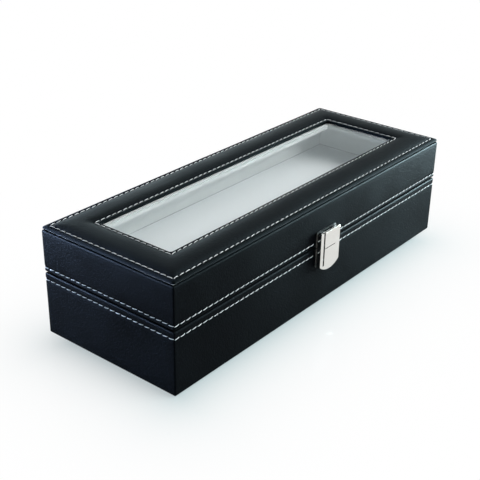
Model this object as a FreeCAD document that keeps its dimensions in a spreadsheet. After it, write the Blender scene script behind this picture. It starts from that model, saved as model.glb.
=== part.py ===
"""Watch box: a leathercloth-covered base and a hinged lid with a padded frame round a clear window.

Millimetres. X runs along the front, -Y faces the user, Z rises from the surface the box stands on.
"""
import FreeCAD, Part
import os
from math import asin, cos, sin

DRIVING_DIMENSIONS = {
    # Outside of the box over its covering
    "box_length": 310.0,
    "box_depth": 115.0,
    "base_rim": 46.3,
    "lid_rim": 46.8,
    "lid_top": 77.4,
    # Sheet goods
    "leather": 0.8,
    "board": 6.0,
    "bottom_board": 3.0,
    "lining": 0.8,
    "felt": 1.2,
    # How the covering is folded
    "hem_above_table": 0.4,
    "underside_fold": 12.0,
    "felt_gap": 0.3,
    "base_rim_fold": 8.0,
    "lid_rim_fold": 1.0,
    "lid_top_fold": 26.0,
    "corner_round": 1.3,
    "rim_round": 1.2,
    # Compartments and cushions
    "compartments": 6.0,
    "divider": 3.0,
    "divider_top": 42.0,
    "cushion_half_width": 22.2,
    "cushion_draw_in": 1.6,
    "cushion_half_depth": 43.0,
    "cushion_base_half_depth": 33.0,
    "cushion_top": 38.5,
    "cushion_shoulder": 28.0,
    "cushion_neck_half_depth": 37.0,
    "cushion_end_drop": 4.0,
    "cushion_lift_gap": 0.25,
    # Window
    "frame_width": 26.6,
    "top_board": 2.4,
    "pane": 2.4,
    "pane_play": 0.2,
    "pane_rest": 1.8,
    "card": 0.8,
    # Padded top panel
    "panel_wrap": 0.6,
    "panel_board": 1.4,
    "outer_land": 80.0,
    "outer_land_start": 3.3,
    "outer_land_end": 4.5,
    "crown": 82.0,
    "crown_place": 14.0,
    "inner_land": 81.0,
    "inner_land_start": 23.0,
    "panel_lower_round": 0.9,
    "panel_hem_round": 0.8,
    # Stitching
    "thread_width": 0.8,
    "thread_proud": 0.3,
    "outer_stitch_inset": 3.9,
    "inner_stitch_inset": 24.0,
    "base_stitch_height": 41.4,
    "lid_stitch_height": 50.4,
    "stitch_stop_gap": 0.5,
    # Hinges
    "hinge_spacing": 190.0,
    "hinge_length": 26.0,
    "hinge_leaf": 1.0,
    "leaf_start": 51.5,
    "barrel_radius": 1.5,
    "barrel_gap": 0.4,
    "hinge_pin_radius": 0.6,
    "hinge_pin_play": 0.1,
    "knuckle_half": 4.7,
    "knuckle_gap": 0.3,
    "hinge_screw_offset": 8.5,
    "screw_row": 54.0,
    "screw_head_radius": 2.0,
    "screw_shank_radius": 0.9,
    "screw_shank_length": 6.0,
    # Clasp
    "plate_width": 23.5,
    "plate": 1.0,
    "plate_top": 58.5,
    "plate_bottom": 31.6,
    "plate_split_gap": 0.3,
    "plate_round": 1.5,
    "tab_width": 22.6,
    "tab_top": 58.3,
    "tab_bottom": 28.2,
    "tab_front": 5.1,
    "tab_wall": 0.9,
    "tab_flange": 3.0,
    "tab_bottom_radius": 17.5,
    "tab_edge_round": 0.5,
    "tab_corner_round": 0.8,
    "tab_shoulder_round": 1.5,
    "slot_place": -7.7,
    "slot_width": 1.7,
    "slot_low": 32.7,
    "score_height": 45.8,
    "score_width": 0.5,
    "score_deep": 0.55,
    "score_reach": 5.8,
    "clasp_pin_out": 3.0,
    "clasp_pin_height": 57.3,
    "clasp_pin_radius": 0.5,
    "clasp_pin_play": 0.1,
    "ear_inner": 5.4,
    "ear_outer": 7.4,
    "ear_radius": 1.0,
    "ear_low": 56.3,
    "ear_high": 57.7,
    "catch_half": 5.0,
    "catch_out": 2.3,
    "catch_low": 36.2,
    "catch_high": 38.2,
    "snap_low": 33.4,
    "snap_high": 35.4,
    "snap_out": 2.7,
    "rivet_offset": 7.6,
    "rivet_head_radius": 1.7,
    "rivet_head": 0.8,
    "rivet_shank_radius": 0.9,
    "rivet_shank_length": 4.0,
    "lid_rivet_height": 53.4,
    "base_rivet_height": 40.4,
}

doc = FreeCAD.newDocument("watch_box")
sheet = doc.addObject("Spreadsheet::Sheet", "sizes")
for row, (alias, number) in enumerate(DRIVING_DIMENSIONS.items(), 1):
    sheet.set(f"A{row}", alias.replace("_", " "))
    sheet.set(f"B{row}", str(number))
    sheet.setAlias(f"B{row}", alias)
doc.recompute()

# Expressions that many pieces share, as half sizes about the middle of the box
OUTER = ("sizes.box_length / 2", "sizes.box_depth / 2")
PAST_ANY_FACE = 5
SAME_PLACE = 1e-6


def inset(half, *amounts):
    """Half sizes drawn in from another pair by the sum of some expressions."""
    inward = " - ".join(f"({amount})" for amount in amounts)
    return tuple(f"({side}) - {inward}" for side in half)


def grown(half, amount):
    """Half sizes let out from another pair."""
    return tuple(f"({side}) + ({amount})" for side in half)


BOARD_FACE = inset(OUTER, "sizes.leather")
BOARD_INSIDE = inset(BOARD_FACE, "sizes.board")
LINED = inset(BOARD_INSIDE, "sizes.lining")
HEM = inset(OUTER, "sizes.frame_width")
PANE_EDGE = inset(HEM, "sizes.pane_play")
LINED_WINDOW = inset(PANE_EDGE, "sizes.pane_rest")
FRONT = "-sizes.box_depth / 2"


def value(alias):
    """The number in one cell of the sheet."""
    return sheet.get(alias)


def block(name, x, y, z):
    """A box between a low and a high expression along each axis."""
    box = doc.addObject("Part::Box", name)
    for side, axis, (low, high) in zip(("Length", "Width", "Height"), "xyz", (x, y, z)):
        box.setExpression(side, f"({high}) - ({low})")
        box.setExpression(f"Placement.Base.{axis}", low)
    return box


def slab(name, half, z):
    """A box about the middle of the watch box, from a pair of half sizes."""
    half_x, half_y = half
    return block(name, (f"-({half_x})", half_x), (f"-({half_y})", half_y), z)


def four_sides(outer, inner):
    """Where the four strips of a frame lie in X and Y, with the end ones between the front and the back."""
    x_out, y_out = outer
    x_in, y_in = inner
    return {
        "front": ((f"-({x_out})", x_out), (f"-({y_out})", f"-({y_in})")),
        "back": ((f"-({x_out})", x_out), (y_in, y_out)),
        "left": ((f"-({x_out})", f"-({x_in})"), (f"-({y_in})", y_in)),
        "right": ((x_in, x_out), (f"-({y_in})", y_in)),
    }


def ring(name, outer, inner, z):
    """A rectangular frame between two pairs of half sizes."""
    low, high = z
    hole = slab(f"{name}_hole", inner, (f"{low} - {PAST_ANY_FACE}", f"{high} + {PAST_ANY_FACE}"))
    return cut(name, slab(f"{name}_blank", outer, z), hole)


def rod(name, radius, length, axis, start, tip=None):
    """A cylinder, or a cone where a tip radius is given, along +X, +Y, +Z or -Z from its start."""
    turns = {
        "x": FreeCAD.Rotation(FreeCAD.Vector(0, 1, 0), 90),
        "y": FreeCAD.Rotation(FreeCAD.Vector(1, 0, 0), -90),
        "z": FreeCAD.Rotation(),
        "down": FreeCAD.Rotation(FreeCAD.Vector(1, 0, 0), 180),
    }
    solid = doc.addObject("Part::Cone" if tip else "Part::Cylinder", name)
    solid.Placement = FreeCAD.Placement(FreeCAD.Vector(), turns[axis])
    if tip:
        solid.setExpression("Radius1", radius)
        solid.setExpression("Radius2", tip)
    else:
        solid.setExpression("Radius", radius)
    solid.setExpression("Height", length)
    for place, coordinate in zip("xyz", start):
        solid.setExpression(f"Placement.Base.{place}", coordinate)
    return solid


def join(name, *solids):
    """Several solids fused into one."""
    fused = doc.addObject("Part::MultiFuse", name)
    fused.Shapes = list(solids)
    return fused


def group(name, *solids):
    """Several separate solids kept side by side in one piece."""
    together = doc.addObject("Part::Compound", name)
    together.Links = list(solids)
    return together


def cut(name, base, *tools):
    """A solid with others taken out of it."""
    piece = doc.addObject("Part::Cut", name)
    piece.Base = base
    piece.Tool = tools[0] if len(tools) == 1 else join(f"{name}_tools", *tools)
    return piece


def shared(name, base, span):
    """What a solid has in common with a block, with faces that lie in one plane made one."""
    piece = doc.addObject("Part::Common", name)
    piece.Base = base
    piece.Tool = span
    piece.Refine = True
    return piece


def rounded(name, base, picks):
    """A solid with edges rounded: each pick is a test of an edge and the sheet's name of its radius."""
    doc.recompute()
    chosen = []
    for index, edge in enumerate(base.Shape.Edges, 1):
        radii = [value(alias) for test, alias in picks if test(edge)]
        if radii:
            chosen.append((index, radii[0], radii[0]))
    fillet = doc.addObject("Part::Fillet", name)
    fillet.Base = base
    fillet.Edges = chosen
    return fillet


def spans(edge, axis):
    """How far an edge reaches along one axis."""
    box = edge.BoundBox
    return {"x": box.XLength, "y": box.YLength, "z": box.ZLength}[axis]


def at_outer_corner(edge, proud=0.0):
    """Whether an edge is one of the four upright outer edges of the box."""
    middle = edge.CenterOfMass
    corner_x = value("box_length") / 2 + proud
    corner_y = value("box_depth") / 2 + proud
    on_corner = abs(abs(middle.x) - corner_x) < SAME_PLACE and abs(abs(middle.y) - corner_y) < SAME_PLACE
    return on_corner and spans(edge, "z") > SAME_PLACE


def on_outer_rim(edge, heights):
    """Whether an edge runs round the outside of the box at one of some heights."""
    middle = edge.CenterOfMass
    on_side = abs(abs(middle.x) - value("box_length") / 2) < SAME_PLACE
    on_face = abs(abs(middle.y) - value("box_depth") / 2) < SAME_PLACE
    level = any(abs(middle.z - height) < SAME_PLACE for height in heights)
    return (on_side or on_face) and level and spans(edge, "z") < SAME_PLACE


# Hinges, two along the back: leaves let into the rims, with the screws and pins that hold them
HINGE_Y = "sizes.box_depth / 2 + sizes.barrel_gap + sizes.barrel_radius"
HINGE_Z = "(sizes.base_rim + sizes.lid_rim) / 2"
LEAF_OUT = "sizes.box_depth / 2 + sizes.barrel_gap / 4"
HALF_HINGE = "sizes.hinge_length / 2"
HINGE_SIDES = {"left": "-sizes.hinge_spacing / 2", "right": "sizes.hinge_spacing / 2"}
LEAF_Z = {
    "base": ("sizes.base_rim - sizes.hinge_leaf", "sizes.base_rim"),
    "lid": ("sizes.lid_rim", "sizes.lid_rim + sizes.hinge_leaf"),
}


def screw(name, member, x):
    """A countersunk screw whose head lies flush in a leaf on the rim of the base or the lid."""
    low, high = LEAF_Z[member]
    narrow, wide = "sizes.screw_shank_radius", "sizes.screw_head_radius"
    start, axis = (high, "down") if member == "base" else (low, "z")
    head = rod(f"{name}_head", wide, "sizes.hinge_leaf", axis, (x, "sizes.screw_row", start), tip=narrow)
    length = "sizes.hinge_leaf + sizes.screw_shank_length"
    shank = rod(f"{name}_shank", narrow, length, axis, (x, "sizes.screw_row", start))
    return join(name, head, shank)


def hinge_screws(member):
    """The four screws of one member's two leaves."""
    screws = []
    for side, place in HINGE_SIDES.items():
        for sign in "-+":
            x = f"{place} {sign} sizes.hinge_screw_offset"
            screws.append(screw(f"{member}_{side}_screw_{len(screws) + 1}", member, x))
    return group(f"hinge_{member}_screws", *screws)


def leaf_seat(member, side):
    """The space that a leaf takes in the rim, as a cutting block."""
    place = HINGE_SIDES[side]
    x = (f"{place} - {HALF_HINGE}", f"{place} + {HALF_HINGE}")
    y = ("sizes.leaf_start", f"{OUTER[1]} + {PAST_ANY_FACE}")
    return block(f"{member}_{side}_leaf_seat", x, y, LEAF_Z[member])


def hinge_leaf(member, side, screws):
    """A leaf with its knuckles: two outer ones on the base, one between them on the lid."""
    name = f"hinge_{side}_{member}_leaf"
    place = HINGE_SIDES[side]
    whole = (f"{place} - {HALF_HINGE}", f"{place} + {HALF_HINGE}")
    plate = block(f"{name}_plate", whole, ("sizes.leaf_start", LEAF_OUT), LEAF_Z[member])
    if member == "base":
        near = "sizes.knuckle_half + sizes.knuckle_gap"
        runs = [(whole[0], f"{place} - ({near})"), (f"{place} + {near}", whole[1])]
        play = "0"
    else:
        runs = [(f"{place} - sizes.knuckle_half", f"{place} + sizes.knuckle_half")]
        play = "sizes.hinge_pin_play"
    solids = [plate]
    for number, (low, high) in enumerate(runs):
        link = f"{name}_link_{number}"
        solids.append(block(link, (low, high), (LEAF_OUT, HINGE_Y), LEAF_Z[member]))
        length = f"({high}) - ({low})"
        start = (low, HINGE_Y, HINGE_Z)
        solids.append(rod(f"{name}_knuckle_{number}", "sizes.barrel_radius", length, "x", start))
    bore = rod(f"{name}_bore", f"sizes.hinge_pin_radius + {play}", "sizes.hinge_length", "x",
               (whole[0], HINGE_Y, HINGE_Z))
    return cut(name, join(f"{name}_blank", *solids), bore, screws)


def hinge_pin(side):
    """The pin through the three knuckles of one hinge."""
    start = (f"{HINGE_SIDES[side]} - {HALF_HINGE}", HINGE_Y, HINGE_Z)
    return rod(f"hinge_{side}_pin", "sizes.hinge_pin_radius", "sizes.hinge_length", "x", start)


# Clasp on the front: plates riveted through the covering, and a tab that swings on the lid plate
PLATE_HALF = "sizes.plate_width / 2"
PLATE_Y = (f"{FRONT} - sizes.plate", FRONT)
TAB_BACK = f"{FRONT} - sizes.tab_front + sizes.tab_flange"
TAB_FACE = f"{FRONT} - sizes.tab_front"
CLASP_PIN_Y = f"{FRONT} - sizes.clasp_pin_out"
MOST_METAL_LEFT = 0.7


def clasp_rivets(member, height):
    """Two rivets whose heads lie on a clasp plate and whose shanks reach into the front board."""
    rivets = []
    for sign in "-+":
        name = f"clasp_{member}_rivet_{len(rivets) + 1}"
        x = f"{sign}sizes.rivet_offset"
        head_start = (x, f"{FRONT} - sizes.plate - sizes.rivet_head", height)
        head = rod(f"{name}_head", "sizes.rivet_shank_radius", "sizes.rivet_head", "y", head_start,
                   tip="sizes.rivet_head_radius")
        length = "sizes.rivet_head + sizes.plate + sizes.rivet_shank_length"
        shank = rod(f"{name}_shank", "sizes.rivet_shank_radius", length, "y", head_start)
        rivets.append(join(name, head, shank))
    return group(f"clasp_{member}_rivets", *rivets)


def clasp_plate(name, z, corner_height):
    """A clasp plate with two rounded corners at one height."""
    flat = block(f"{name}_flat", (f"-{PLATE_HALF}", PLATE_HALF), PLATE_Y, z)

    def is_corner(edge):
        return spans(edge, "y") > SAME_PLACE and abs(edge.CenterOfMass.z - corner_height) < SAME_PLACE

    return rounded(f"{name}_blank", flat, [(is_corner, "plate_round")])


def clasp_ear(sign):
    """One ear of the lid plate, an arm out to an eye round the clasp pin."""
    name = "clasp_ear_left" if sign == "-" else "clasp_ear_right"
    near, far = f"{sign}sizes.ear_inner", f"{sign}sizes.ear_outer"
    x = (far, near) if sign == "-" else (near, far)
    arm = block(f"{name}_arm", x, (CLASP_PIN_Y, PLATE_Y[0]), ("sizes.ear_low", "sizes.ear_high"))
    eye = rod(f"{name}_eye", "sizes.ear_radius", f"({x[1]}) - ({x[0]})", "x",
              (x[0], CLASP_PIN_Y, "sizes.clasp_pin_height"))
    return [arm, eye]


def clasp_pin_rod(name, play):
    """The line of the clasp pin across the tab, as a rod of the pin's radius and some play."""
    start = ("-sizes.tab_width / 2", CLASP_PIN_Y, "sizes.clasp_pin_height")
    return rod(name, f"sizes.clasp_pin_radius + {play}", "sizes.tab_width", "x", start)


def tab_outline(sketch, inward, high, low):
    """Draw a tab's outline in X and Z: straight sides and top, and a round lower end."""
    half = value("tab_width") / 2 - inward
    radius = value("tab_bottom_radius") - inward
    middle = low + radius
    shoulder = middle - (radius ** 2 - half ** 2) ** 0.5
    left_top, right_top = FreeCAD.Vector(-half, high), FreeCAD.Vector(half, high)
    left, right = FreeCAD.Vector(-half, shoulder), FreeCAD.Vector(half, shoulder)
    sketch.addGeometry(Part.LineSegment(left_top, right_top))
    sketch.addGeometry(Part.LineSegment(right_top, right))
    sketch.addGeometry(Part.Arc(right, FreeCAD.Vector(0, low), left))
    sketch.addGeometry(Part.LineSegment(left, left_top))


def sketch_on_front(body, name):
    """A sketch on a body's own XZ plane."""
    plane = next(item for item in body.Origin.OriginFeatures if item.Role == "XZ_Plane")
    sketch = body.newObject("Sketcher::SketchObject", name)
    sketch.AttachmentSupport = [(plane, "")]
    sketch.MapMode = "FlatFace"
    return sketch


def clasp_tab_cap():
    """The folded cap of the tab: a front wall and a flange round its sides and lower end."""
    body = doc.addObject("PartDesign::Body", "clasp_tab_cap")
    outline = sketch_on_front(body, "tab_outline")
    tab_outline(outline, 0, value("tab_top"), value("tab_bottom"))
    pad = body.newObject("PartDesign::Pad", "tab_block")
    pad.Profile = outline
    pad.setExpression("Length", "sizes.tab_flange")
    hollow = sketch_on_front(body, "tab_hollow")
    wall = value("tab_wall")
    tab_outline(hollow, wall, value("tab_top") + PAST_ANY_FACE, value("tab_bottom") + wall)
    doc.recompute()
    solid_volume = body.Shape.Volume
    pocket = body.newObject("PartDesign::Pocket", "tab_inside")
    pocket.Profile = hollow
    pocket.setExpression("Length", "sizes.tab_flange - sizes.tab_wall")
    pocket.Reversed = True
    doc.recompute()
    if body.Shape.Volume > MOST_METAL_LEFT * solid_volume:
        raise RuntimeError("the tab was not hollowed from its back")
    body.setExpression("Placement.Base.y", TAB_BACK)
    return body


def clasp_tab():
    """The tab: its cap, a snap rib inside the lower end, a slot, a scored line and the pin's holes."""
    snap_y = (f"{TAB_FACE} + sizes.tab_wall / 2", f"{FRONT} - sizes.snap_out")
    rib_x = ("-sizes.catch_half", "sizes.catch_half")
    rib = block("tab_snap_rib", rib_x, snap_y, ("sizes.snap_low", "sizes.snap_high"))
    slot_left = "sizes.slot_place - sizes.slot_width / 2"
    slot_y = (f"{TAB_FACE} - {PAST_ANY_FACE}", f"{TAB_FACE} + 2 * sizes.tab_wall")
    slot = block("tab_slot", (slot_left, f"{slot_left} + sizes.slot_width"), slot_y,
                 ("sizes.slot_low", f"sizes.tab_top + {PAST_ANY_FACE}"))
    line_y = (f"{TAB_FACE} - {PAST_ANY_FACE}", f"{TAB_FACE} + sizes.score_deep")
    score_low = "sizes.score_height - sizes.score_width / 2"
    line = block("tab_score", ("sizes.slot_place", "sizes.score_reach"), line_y,
                 (score_low, f"{score_low} + sizes.score_width"))
    corners = [(at_tab_top, "tab_corner_round"), (at_tab_shoulder, "tab_shoulder_round")]
    shaped = rounded("clasp_tab_shaped", clasp_tab_cap(), corners)
    softened = rounded("clasp_tab_soft", shaped, [(on_tab_face, "tab_edge_round")])
    blank = join("clasp_tab_blank", softened, rib)
    return cut("clasp_tab", blank, slot, line, clasp_pin_rod("tab_pin_hole", "0"))


def at_tab_side(edge):
    """Whether an edge runs from the front of the tab to its back, along one of its sides."""
    side = value("tab_width") / 2
    return spans(edge, "y") > SAME_PLACE and abs(abs(edge.CenterOfMass.x) - side) < SAME_PLACE


def at_tab_top(edge):
    """Whether an edge is one of the tab's two upper corners."""
    return at_tab_side(edge) and abs(edge.CenterOfMass.z - value("tab_top")) < SAME_PLACE


def at_tab_shoulder(edge):
    """Whether an edge is one of the tab's two corners where its round lower end starts."""
    return at_tab_side(edge) and not at_tab_top(edge)


def on_tab_face(edge):
    """Whether an edge runs round the front of the tab."""
    face_y = -value("box_depth") / 2 - value("tab_front")
    return abs(edge.CenterOfMass.y - face_y) < SAME_PLACE and spans(edge, "y") < SAME_PLACE


# Base
BOARD_FLOOR = "sizes.felt"
BOARD_TOP = "sizes.base_rim - sizes.leather"
FLOOR_TOP = "sizes.felt + sizes.bottom_board"
LINED_FLOOR = f"{FLOOR_TOP} + sizes.lining"
BASE_FOLD_END = f"{BOARD_TOP} - sizes.base_rim_fold"


def boards(member, z, cuts):
    """The four boards round the base or the lid, front and back between them holding the ends."""
    made = []
    for side, (x, y) in four_sides(BOARD_FACE, BOARD_INSIDE).items():
        name = f"{member}_{side}_board"
        tools = cuts.get(side, [])
        blank = block(f"{name}_blank" if tools else name, x, y, z)
        made.append(cut(name, blank, *tools) if tools else blank)
    return made


def base_leather(seats, fasteners):
    """The covering of the base, folded under it, over its rim and down inside."""
    block_out = slab("base_cover_block", OUTER, ("sizes.hem_above_table", "sizes.base_rim"))
    hollow = slab("base_cover_hollow", BOARD_FACE, (BOARD_FLOOR, BOARD_TOP))
    under = inset(OUTER, "sizes.underside_fold")
    below = slab("base_cover_under", under, (f"-{PAST_ANY_FACE}", f"{BOARD_FLOOR} + sizes.leather"))
    above = slab("base_cover_mouth", LINED, (BASE_FOLD_END, f"sizes.base_rim + {PAST_ANY_FACE}"))
    shell = cut("base_cover_shell", block_out, hollow, below, above)
    soft = rounded("base_cover_soft", shell, [
        (at_outer_corner, "corner_round"),
        (lambda edge: on_outer_rim(edge, (value("base_rim"), value("hem_above_table"))), "rim_round"),
    ])
    fold = ring("base_cover_fold", BOARD_INSIDE, LINED, (BASE_FOLD_END, BOARD_TOP))
    return cut("base_leather", join("base_cover_blank", soft, fold), *seats, *fasteners)


def stitch_row(name, height):
    """A row of stitching round the outside, stopping either side of the clasp plates."""
    z = (f"sizes.{height} - sizes.thread_width / 2", f"sizes.{height} + sizes.thread_width / 2")
    row = ring(f"{name}_row", grown(OUTER, "sizes.thread_proud"), OUTER, z)
    soft = rounded(f"{name}_soft", row, [
        (at_outer_corner, "corner_round"),
        (lambda edge: at_outer_corner(edge, value("thread_proud")), "corner_round"),
    ])
    stop = f"{PLATE_HALF} + sizes.stitch_stop_gap"
    past = (f"{FRONT} - {PAST_ANY_FACE}", f"{FRONT} + sizes.leather")
    return cut(name, soft, block(f"{name}_stop", (f"-({stop})", stop), past, z))


def dividers():
    """The dividers between the compartments, evenly spaced along the box."""
    made = []
    count = int(value("compartments"))
    for number in range(1, count):
        middle = f"(2 * ({LINED[0]}) / sizes.compartments) * {number - count / 2}"
        x = (f"{middle} - sizes.divider / 2", f"{middle} + sizes.divider / 2")
        y = (f"-({LINED[1]})", LINED[1])
        made.append(block(f"divider_{number}", x, y, (LINED_FLOOR, "sizes.divider_top")))
    return made


# Where a cushion's sections stand along its width, from one end to the other
CUSHION_STATIONS = (-1.0, -0.5, 0.0, 0.5, 1.0)


def cushion_section(x, shrink, drop):
    """One section of a cushion across the box: flat below, bulging front and back, crowned on top."""
    top = value("cushion_top") - lined_floor() - value("cushion_lift_gap") - drop
    shoulder = value("cushion_shoulder") - lined_floor() - drop
    foot = value("cushion_base_half_depth") - shrink
    wide = value("cushion_half_depth") - shrink
    neck = value("cushion_neck_half_depth") - shrink

    def point(y, z):
        return FreeCAD.Vector(x, y, z)

    edges = [
        Part.LineSegment(point(-foot, 0), point(foot, 0)),
        Part.Arc(point(foot, 0), point(wide, shoulder / 2), point(neck, shoulder)),
        Part.Arc(point(neck, shoulder), point(0, top), point(-neck, shoulder)),
        Part.Arc(point(-neck, shoulder), point(-wide, shoulder / 2), point(-foot, 0)),
    ]
    return Part.Wire([edge.toShape() for edge in edges])


def lined_floor():
    """Height of the lined floor of the base."""
    return value("felt") + value("bottom_board") + value("lining")


def cushions():
    """A watch cushion for each compartment, crowned along its length and drawn in at its two ends."""
    half = value("cushion_half_width")
    draw, drop = value("cushion_draw_in"), value("cushion_end_drop")
    sections = []
    for along in CUSHION_STATIONS:
        ease = abs(along) ** 2
        sections.append(cushion_section(half * along, draw * ease, drop * ease))
    form = Part.makeLoft(sections, True, False)
    count = int(value("compartments"))
    pitch = (value("box_length") - 2 * (value("leather") + value("board") + value("lining"))) / count
    made = []
    for number in range(count):
        cushion = doc.addObject("Part::Feature", f"cushion_{number + 1}")
        cushion.Shape = form
        middle = pitch * (number - (count - 1) / 2)
        cushion.Placement.Base = FreeCAD.Vector(middle, 0, lined_floor() + value("cushion_lift_gap"))
        made.append(cushion)
    return made


# Lid
LID_BOARD_FLOOR = "sizes.lid_rim + sizes.leather"
TOP_BOARD_TOP = "sizes.lid_top - sizes.leather"
TOP_BOARD_FLOOR = f"{TOP_BOARD_TOP} - sizes.top_board"
LID_FOLD_END = f"{LID_BOARD_FLOOR} + sizes.lid_rim_fold"
TOP_LINING_FLOOR = f"{TOP_BOARD_FLOOR} - sizes.lining"


def lid_side_leather(seats, fasteners):
    """The covering of the lid's sides, folded over its top and up inside its rim."""
    block_out = slab("lid_cover_block", OUTER, ("sizes.lid_rim", "sizes.lid_top"))
    hollow = slab("lid_cover_hollow", BOARD_FACE, (LID_BOARD_FLOOR, TOP_BOARD_TOP))
    below = slab("lid_cover_mouth", LINED, (f"sizes.lid_rim - {PAST_ANY_FACE}", LID_FOLD_END))
    over = inset(OUTER, "sizes.lid_top_fold")
    over_z = (f"{TOP_BOARD_TOP} - sizes.leather", f"sizes.lid_top + {PAST_ANY_FACE}")
    above = slab("lid_cover_over", over, over_z)
    shell = cut("lid_cover_shell", block_out, hollow, below, above)
    soft = rounded("lid_cover_soft", shell, [
        (at_outer_corner, "corner_round"),
        (lambda edge: on_outer_rim(edge, (value("lid_rim"), value("lid_top"))), "rim_round"),
    ])
    fold = ring("lid_cover_fold", BOARD_INSIDE, LINED, (LID_BOARD_FLOOR, LID_FOLD_END))
    return cut("lid_side_leather", join("lid_cover_blank", soft, fold), *seats, *fasteners)


def lid_top_lining():
    """The lining under the top board, turned up round the window into a lip that the pane rests on."""
    sheet_part = ring("top_lining_sheet", BOARD_INSIDE, LINED_WINDOW, (TOP_LINING_FLOOR, TOP_BOARD_FLOOR))
    lip = ring("top_lining_lip", PANE_EDGE, LINED_WINDOW, (TOP_LINING_FLOOR, TOP_BOARD_TOP))
    return join("lid_top_lining", sheet_part, lip)


def panel_section(name, wrap):
    """Section of the padded panel from its outer edge inward, or of its core inside a covering."""
    half_y = value("box_depth") / 2
    width = value("frame_width") - wrap
    low = value("lid_top") + wrap
    low_round = value("panel_lower_round") - wrap
    hem_round = value("panel_hem_round") - wrap
    outer_land = value("outer_land") - wrap
    inner_land = value("inner_land") - wrap
    lip_start = value("outer_land_start")
    slant = 0.5 ** 0.5

    def point(across, height):
        return FreeCAD.Vector(0, across - half_y, height)

    def bend(middle, radius, toward_y, toward_z):
        return point(middle[0] + toward_y * radius * slant, middle[1] + toward_z * radius * slant)

    outer_low = (wrap + low_round, low + low_round)
    inner_low = (width - low_round, low + low_round)
    inner_high = (width - hem_round, inner_land - hem_round)
    lip_run, lip_fall = lip_start - wrap, outer_land - outer_low[1]
    lip_radius = (lip_run ** 2 + lip_fall ** 2) / (2 * lip_fall)
    half_turn = asin(lip_run / lip_radius) / 2
    shoulder = point(lip_start - lip_radius * sin(half_turn), outer_land - lip_radius * (1 - cos(half_turn)))
    edges = [
        Part.LineSegment(point(outer_low[0], low), point(inner_low[0], low)),
        Part.Arc(point(inner_low[0], low), bend(inner_low, low_round, 1, -1), point(width, inner_low[1])),
        Part.LineSegment(point(width, inner_low[1]), point(width, inner_high[1])),
        Part.Arc(point(width, inner_high[1]), bend(inner_high, hem_round, 1, 1),
                 point(inner_high[0], inner_land)),
        Part.LineSegment(point(inner_high[0], inner_land), point(value("inner_land_start"), inner_land)),
        Part.Arc(point(value("inner_land_start"), inner_land),
                 point(value("crown_place"), value("crown") - wrap),
                 point(value("outer_land_end"), outer_land)),
        Part.LineSegment(point(value("outer_land_end"), outer_land), point(lip_start, outer_land)),
        Part.Arc(point(lip_start, outer_land), shoulder, point(wrap, outer_low[1])),
        Part.Arc(point(wrap, outer_low[1]), bend(outer_low, low_round, -1, -1), point(outer_low[0], low)),
    ]
    section = doc.addObject("Part::Feature", name)
    section.Shape = Part.Wire([edge.toShape() for edge in edges])
    return section


def panel_sweep(name, section):
    """A section carried round the outside of the lid, with square corners."""
    half_x = value("box_length") / 2
    half_y = value("box_depth") / 2
    front_middle = (0, -half_y)
    corners = [front_middle, (half_x, -half_y), (half_x, half_y), (-half_x, half_y), (-half_x, -half_y),
               front_middle]
    path = doc.addObject("Part::Feature", f"{name}_path")
    path.Shape = Part.makePolygon([FreeCAD.Vector(x, y, 0) for x, y in corners])
    sweep = doc.addObject("Part::Sweep", name)
    sweep.Sections = [section]
    sweep.Spine = (path, [f"Edge{number}" for number in range(1, len(corners))])
    sweep.Solid = True
    sweep.Transition = "Right corner"
    return sweep


def padded_panel():
    """The top panel: a stiff board, strips of foam crowned between the two seams, and the covering."""
    whole = panel_sweep("panel_whole", panel_section("panel_outline", 0.0))
    core = panel_sweep("panel_core", panel_section("panel_core_outline", value("panel_wrap")))
    board_top = "sizes.lid_top + sizes.panel_wrap + sizes.panel_board"
    around = grown(OUTER, PAST_ANY_FACE)
    board_span = slab("panel_board_span", around, ("sizes.lid_top + sizes.panel_wrap", board_top))
    made = [shared("top_panel_board", core, board_span)]
    foam_z = (board_top, f"sizes.crown + {PAST_ANY_FACE}")
    for side, (x, y) in four_sides(around, grown(HEM, "sizes.panel_wrap")).items():
        made.append(shared(f"top_panel_padding_{side}", core, block(f"padding_{side}_span", x, y, foam_z)))
    made.append(cut("top_panel_leather", whole, core))
    return made


def panel_stitch_row(name, inset_alias, land_alias):
    """A row of stitching on the top panel, a set way in from its outer edge."""
    line = inset(OUTER, f"sizes.{inset_alias}")
    z = (f"sizes.{land_alias}", f"sizes.{land_alias} + sizes.thread_proud")
    return ring(name, grown(line, "sizes.thread_width / 2"), inset(line, "sizes.thread_width / 2"), z)


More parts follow.
